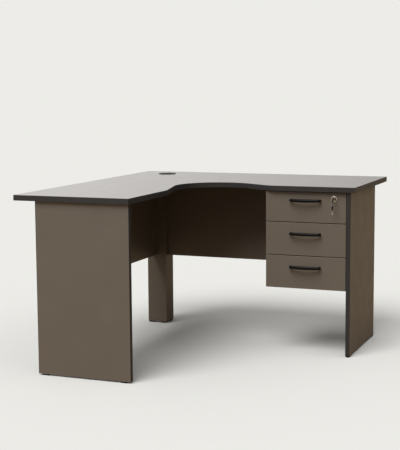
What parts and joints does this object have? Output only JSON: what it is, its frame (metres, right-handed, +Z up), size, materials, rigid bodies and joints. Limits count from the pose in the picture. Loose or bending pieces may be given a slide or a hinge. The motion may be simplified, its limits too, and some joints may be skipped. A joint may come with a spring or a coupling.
{
  "type": "l-shaped office desk",
  "caption": "L-shaped desk with a hollow curved inner corner, panel ends, modesty panels, a corner leg, a cable grommet and a hung pedestal of lockable drawers.",
  "frame": {"origin": "on the floor, at the middle of the desk's footprint", "axes": "+Z up, +Y towards the wall behind the desk, +X to the right as seen by the sitter of the main wing; the return wing runs towards -Y on the left"},
  "size_m": [1.2, 1.3, 0.722],
  "materials": {
    "top_board": "satin taupe-grey melamine with a fine pore texture",
    "taupe_board": "satin taupe melamine with a fine pore texture",
    "charcoal_edging": "satin charcoal edge banding",
    "black_plastic": "fine moulded grain",
    "zinc_steel": "zinc plated",
    "runner_steel": "white epoxy coat",
    "drawer_board": "pale grey melamine",
    "drawer_bottom": "pale faced hardboard",
    "black_handle": "satin black coat",
    "chrome_lock": "bright nickel",
    "key_black": "moulded bow on a nickel blade",
    "ring_steel": "bright nickel wire",
    "nylon": "white nylon"
  },
  "bodies": {
    "desk": {"worktop": "top_board", "worktop_edging": "charcoal_edging", "grommet_liner": "black_plastic", "left_end_panel": "taupe_board", "left_end_edging": "charcoal_edging", "right_end_panel": "taupe_board", "right_end_edging": "charcoal_edging", "leg_front_board": "taupe_board", "leg_left_board": "taupe_board", "leg_right_board": "taupe_board", "return_modesty_panel": "taupe_board", "main_modesty_panel": "taupe_board", "glides": "black_plastic", "corner_brackets": "zinc_steel", "panel_screws": "zinc_steel", "cam_discs": "zinc_steel", "cam_bolts": "zinc_steel", "pedestal_side": "taupe_board", "pedestal_back": "taupe_board", "pedestal_bottom": "taupe_board", "pedestal_rail": "taupe_board", "cabinet_runners": "runner_steel"},
    "grommet_cap": {"grommet_cap": "black_plastic"},
    "drawer_1": {"drawer_1_front": "taupe_board", "drawer_1_left_side": "drawer_board", "drawer_1_right_side": "drawer_board", "drawer_1_back": "drawer_board", "drawer_1_bottom": "drawer_bottom", "drawer_1_handle": "black_handle", "drawer_1_runners": "runner_steel", "drawer_1_screws": "zinc_steel", "lock_body": "chrome_lock"},
    "drawer_1_rollers": {"drawer_1_rollers": "nylon"},
    "cabinet_rollers_1": {"cabinet_rollers_1": "nylon"},
    "drawer_2": {"drawer_2_front": "taupe_board", "drawer_2_left_side": "drawer_board", "drawer_2_right_side": "drawer_board", "drawer_2_back": "drawer_board", "drawer_2_bottom": "drawer_bottom", "drawer_2_handle": "black_handle", "drawer_2_runners": "runner_steel", "drawer_2_screws": "zinc_steel"},
    "drawer_2_rollers": {"drawer_2_rollers": "nylon"},
    "cabinet_rollers_2": {"cabinet_rollers_2": "nylon"},
    "drawer_3": {"drawer_3_front": "taupe_board", "drawer_3_left_side": "drawer_board", "drawer_3_right_side": "drawer_board", "drawer_3_back": "drawer_board", "drawer_3_bottom": "drawer_bottom", "drawer_3_handle": "black_handle", "drawer_3_runners": "runner_steel", "drawer_3_screws": "zinc_steel"},
    "drawer_3_rollers": {"drawer_3_rollers": "nylon"},
    "cabinet_rollers_3": {"cabinet_rollers_3": "nylon"},
    "lock_plug": {"lock_plug": "chrome_lock", "key": "key_black"},
    "lock_bolt": {"lock_bolt": "zinc_steel"},
    "key_ring": {"key_ring": "ring_steel"},
    "spare_key": {"spare_key": "key_black"}
  },
  "joints": [
    {"name": "grommet_cap_lift", "type": "slide", "parent": "desk", "child": "grommet_cap", "axis": [0, 0, 1], "range_m": [0, 0.03]},
    {"name": "drawer_1_slide", "type": "slide", "parent": "desk", "child": "drawer_1", "axis": [0, -1, 0], "range_m": [0, 0.3]},
    {"name": "cabinet_rollers_1_spin", "type": "hinge", "parent": "desk", "child": "cabinet_rollers_1", "pos_m": [0.3935, 0.095, 0.5945], "axis": [1, 0, 0], "range_deg": [0, 2160]},
    {"name": "drawer_1_rollers_spin", "type": "hinge", "parent": "drawer_1", "child": "drawer_1_rollers", "pos_m": [0.3935, 0.423, 0.5945], "axis": [1, 0, 0], "range_deg": [0, 2160]},
    {"name": "drawer_2_slide", "type": "slide", "parent": "desk", "child": "drawer_2", "axis": [0, -1, 0], "range_m": [0, 0.3]},
    {"name": "cabinet_rollers_2_spin", "type": "hinge", "parent": "desk", "child": "cabinet_rollers_2", "pos_m": [0.3935, 0.095, 0.452], "axis": [1, 0, 0], "range_deg": [0, 2160]},
    {"name": "drawer_2_rollers_spin", "type": "hinge", "parent": "drawer_2", "child": "drawer_2_rollers", "pos_m": [0.3935, 0.423, 0.452], "axis": [1, 0, 0], "range_deg": [0, 2160]},
    {"name": "drawer_3_slide", "type": "slide", "parent": "desk", "child": "drawer_3", "axis": [0, -1, 0], "range_m": [0, 0.3]},
    {"name": "cabinet_rollers_3_spin", "type": "hinge", "parent": "desk", "child": "cabinet_rollers_3", "pos_m": [0.3935, 0.095, 0.3095], "axis": [1, 0, 0], "range_deg": [0, 2160]},
    {"name": "drawer_3_rollers_spin", "type": "hinge", "parent": "drawer_3", "child": "drawer_3_rollers", "pos_m": [0.3935, 0.423, 0.3095], "axis": [1, 0, 0], "range_deg": [0, 2160]},
    {"name": "lock_turn", "type": "hinge", "parent": "drawer_1", "child": "lock_plug", "pos_m": [0.508, 0.065, 0.669], "axis": [0, 1, 0], "range_deg": [0, 90]},
    {"name": "lock_bolt_slide", "type": "slide", "parent": "drawer_1", "child": "lock_bolt", "axis": [0, 0, 1], "range_m": [0, 0.009]},
    {"name": "key_ring_swing", "type": "hinge", "parent": "lock_plug", "child": "key_ring", "pos_m": [0.508, 0.037, 0.669], "axis": [1, 0, 0], "range_deg": [-40, 12]},
    {"name": "spare_key_swing", "type": "hinge", "parent": "key_ring", "child": "spare_key", "pos_m": [0.508, 0.037, 0.64416], "axis": [1, 0, 0], "range_deg": [-30, 8]}
  ],
  "couplings": [
    {"joint": "cabinet_rollers_1_spin", "follows": "drawer_1_slide", "rad_per_m": 125},
    {"joint": "drawer_1_rollers_spin", "follows": "drawer_1_slide", "rad_per_m": 125},
    {"joint": "cabinet_rollers_2_spin", "follows": "drawer_2_slide", "rad_per_m": 125},
    {"joint": "drawer_2_rollers_spin", "follows": "drawer_2_slide", "rad_per_m": 125},
    {"joint": "cabinet_rollers_3_spin", "follows": "drawer_3_slide", "rad_per_m": 125},
    {"joint": "drawer_3_rollers_spin", "follows": "drawer_3_slide", "rad_per_m": 125},
    {"joint": "lock_bolt_slide", "follows": "lock_turn", "m_per_rad": 0.0057296}
  ]
}
